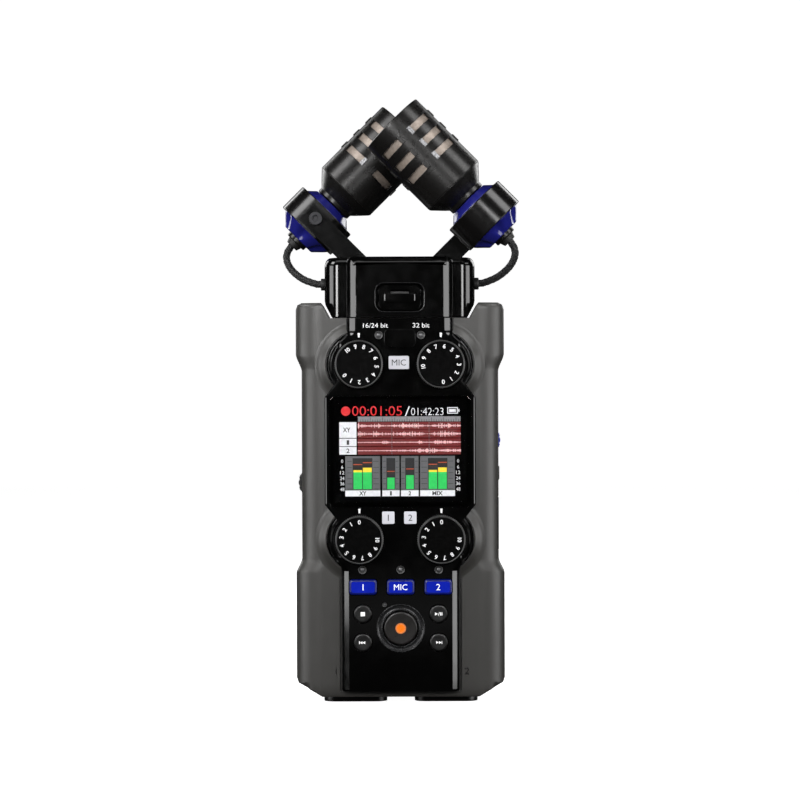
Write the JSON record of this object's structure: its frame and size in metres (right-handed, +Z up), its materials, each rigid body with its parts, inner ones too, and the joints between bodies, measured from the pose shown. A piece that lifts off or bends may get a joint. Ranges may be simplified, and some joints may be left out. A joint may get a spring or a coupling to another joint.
{
  "type": "portable field recorder",
  "caption": "Hand-held multitrack audio recorder with gain knobs, a colour display, transport keys, combo inputs and a removable crossed-pair microphone capsule.",
  "frame": {"origin": "middle of the footprint, on the surface the recorder stands on", "axes": "+Z up, the front panel faces -Y, +X to the right seen from the front"},
  "size_m": [0.0828, 0.0497, 0.2086],
  "materials": {
    "case_plastic": "fine spark-textured moulding, charcoal",
    "panel_gloss": "polished black",
    "window_glass": "clear hard-coated window",
    "display_unit": "lit colour display",
    "circuit_board": "green solder mask",
    "steel_parts": "plated sheet steel",
    "black_plastic": "satin black moulding",
    "knob_black": "satin black, knurled",
    "battery_jacket": "printed foil jacket",
    "speaker_cone": "black cone and frame",
    "brass_parts": "turned brass",
    "dark_screws": "black oxide",
    "indicator_lens": "tinted clear plastic",
    "blue_lit_key": "translucent blue, backlit",
    "blue_wheel": "ribbed blue rubber",
    "mic_metal": "satin black paint on turned metal",
    "blue_elastomer": "moulded blue elastomer",
    "mesh_screen": "woven beige-silver mesh",
    "braided_lead": "black braided sleeve"
  },
  "bodies": {
    "recorder": {"front_shell": "case_plastic", "rear_shell": "case_plastic", "front_panel": "panel_gloss", "display_window": "window_glass", "display_module": "display_unit", "main_board": "circuit_board", "preamp_board": "circuit_board", "control_pots": "steel_parts", "input_jacks": "black_plastic", "input_collars": "black_plastic", "battery_tray": "black_plastic", "battery_cells": "battery_jacket", "battery_contacts": "steel_parts", "speaker_driver": "speaker_cone", "tripod_insert": "brass_parts", "case_screws": "dark_screws", "indicator_lenses": "indicator_lens", "record_bezel": "panel_gloss", "capsule_socket": "black_plastic", "usb_port": "steel_parts", "card_socket": "steel_parts", "audio_jacks": "black_plastic", "key_switches": "black_plastic", "wheel_encoders": "steel_parts"},
    "knob_mic_left": {"knob_mic_left": "knob_black"},
    "knob_mic_right": {"knob_mic_right": "knob_black"},
    "knob_input_1": {"knob_input_1": "knob_black"},
    "knob_input_2": {"knob_input_2": "knob_black"},
    "format_button": {"format_button": "black_plastic"},
    "track_button_1": {"track_button_1": "blue_lit_key"},
    "track_button_mic": {"track_button_mic": "blue_lit_key"},
    "track_button_2": {"track_button_2": "blue_lit_key"},
    "record_button": {"record_button": "black_plastic"},
    "stop_button": {"stop_button": "black_plastic"},
    "play_button": {"play_button": "black_plastic"},
    "rewind_button": {"rewind_button": "black_plastic"},
    "forward_button": {"forward_button": "black_plastic"},
    "volume_wheel": {"volume_wheel": "knob_black"},
    "select_wheel": {"select_wheel": "blue_wheel"},
    "power_slider": {"power_slider": "black_plastic"},
    "menu_button": {"menu_button": "black_plastic"},
    "battery_cover": {"battery_cover": "case_plastic"},
    "card_door": {"card_door": "black_plastic"},
    "capsule_latch": {"capsule_latch": "black_plastic"},
    "mic_capsule": {"capsule_front_housing": "panel_gloss", "capsule_rear_housing": "panel_gloss", "capsule_plug": "black_plastic", "mic_arm_left": "mic_metal", "mic_arm_right": "mic_metal", "arm_screws": "dark_screws", "mount_ring_left": "mic_metal", "mount_ring_right": "mic_metal", "suspension_mounts": "blue_elastomer", "mic_barrel_left": "mic_metal", "mic_barrel_right": "mic_metal", "mic_tails": "mic_metal", "mic_meshes": "mesh_screen", "mic_elements": "brass_parts", "mic_cables": "braided_lead", "cable_fittings": "black_plastic"}
  },
  "joints": [
    {"name": "knob_mic_left_turn", "type": "hinge", "parent": "recorder", "child": "knob_mic_left", "pos_m": [-0.01405, -0.02, 0.1169], "axis": [0, 1, 0], "range_deg": [-232.2, 37.8]},
    {"name": "knob_mic_right_turn", "type": "hinge", "parent": "recorder", "child": "knob_mic_right", "pos_m": [0.01405, -0.02, 0.1169], "axis": [0, 1, 0], "range_deg": [-172.8, 97.2]},
    {"name": "knob_input_1_turn", "type": "hinge", "parent": "recorder", "child": "knob_input_1", "pos_m": [-0.01405, -0.02, 0.0568], "axis": [0, 1, 0], "range_deg": [0, 270]},
    {"name": "knob_input_2_turn", "type": "hinge", "parent": "recorder", "child": "knob_input_2", "pos_m": [0.01405, -0.02, 0.0568], "axis": [0, 1, 0], "range_deg": [0, 270]},
    {"name": "format_button_press", "type": "slide", "parent": "recorder", "child": "format_button", "axis": [0, 1, 0], "range_m": [0, 0.0005], "stiffness_N_per_m": 600},
    {"name": "track_button_1_press", "type": "slide", "parent": "recorder", "child": "track_button_1", "axis": [0, 1, 0], "range_m": [0, 0.0005], "stiffness_N_per_m": 600},
    {"name": "track_button_mic_press", "type": "slide", "parent": "recorder", "child": "track_button_mic", "axis": [0, 1, 0], "range_m": [0, 0.0005], "stiffness_N_per_m": 600},
    {"name": "track_button_2_press", "type": "slide", "parent": "recorder", "child": "track_button_2", "axis": [0, 1, 0], "range_m": [0, 0.0005], "stiffness_N_per_m": 600},
    {"name": "record_button_press", "type": "slide", "parent": "recorder", "child": "record_button", "axis": [0, 1, 0], "range_m": [0, 0.0005], "stiffness_N_per_m": 600},
    {"name": "stop_button_press", "type": "slide", "parent": "recorder", "child": "stop_button", "axis": [0, 1, 0], "range_m": [0, 0.0005], "stiffness_N_per_m": 600},
    {"name": "play_button_press", "type": "slide", "parent": "recorder", "child": "play_button", "axis": [0, 1, 0], "range_m": [0, 0.0005], "stiffness_N_per_m": 600},
    {"name": "rewind_button_press", "type": "slide", "parent": "recorder", "child": "rewind_button", "axis": [0, 1, 0], "range_m": [0, 0.0005], "stiffness_N_per_m": 600},
    {"name": "forward_button_press", "type": "slide", "parent": "recorder", "child": "forward_button", "axis": [0, 1, 0], "range_m": [0, 0.0005], "stiffness_N_per_m": 600},
    {"name": "volume_wheel_turn", "type": "hinge", "parent": "recorder", "child": "volume_wheel", "pos_m": [-0.0288, -0.004, 0.0761], "axis": [0, 1, 0], "range_deg": [-150, 150]},
    {"name": "select_wheel_turn", "type": "hinge", "parent": "recorder", "child": "select_wheel", "pos_m": [0.0289, -0.004, 0.09065], "axis": [0, 1, 0], "continuous": true},
    {"name": "power_slide", "type": "slide", "parent": "recorder", "child": "power_slider", "axis": [0, 0, 1], "range_m": [0, 0.003]},
    {"name": "menu_button_press", "type": "slide", "parent": "recorder", "child": "menu_button", "axis": [-1, 0, 0], "range_m": [0, 0.0005], "stiffness_N_per_m": 600},
    {"name": "battery_cover_swing", "type": "hinge", "parent": "recorder", "child": "battery_cover", "pos_m": [0, 0.0208, 0.107], "axis": [1, 0, 0], "range_deg": [0, 95]},
    {"name": "card_door_swing", "type": "hinge", "parent": "recorder", "child": "card_door", "pos_m": [0.0334, -0.0034, 0.062], "axis": [0, 0, 1], "range_deg": [0, 100]},
    {"name": "capsule_lift", "type": "slide", "parent": "recorder", "child": "mic_capsule", "axis": [0, 0, 1], "range_m": [0, 0.02]},
    {"name": "capsule_latch_slide", "type": "slide", "parent": "mic_capsule", "child": "capsule_latch", "axis": [0, 0, 1], "range_m": [0, 0.0014], "stiffness_N_per_m": 300}
  ]
}
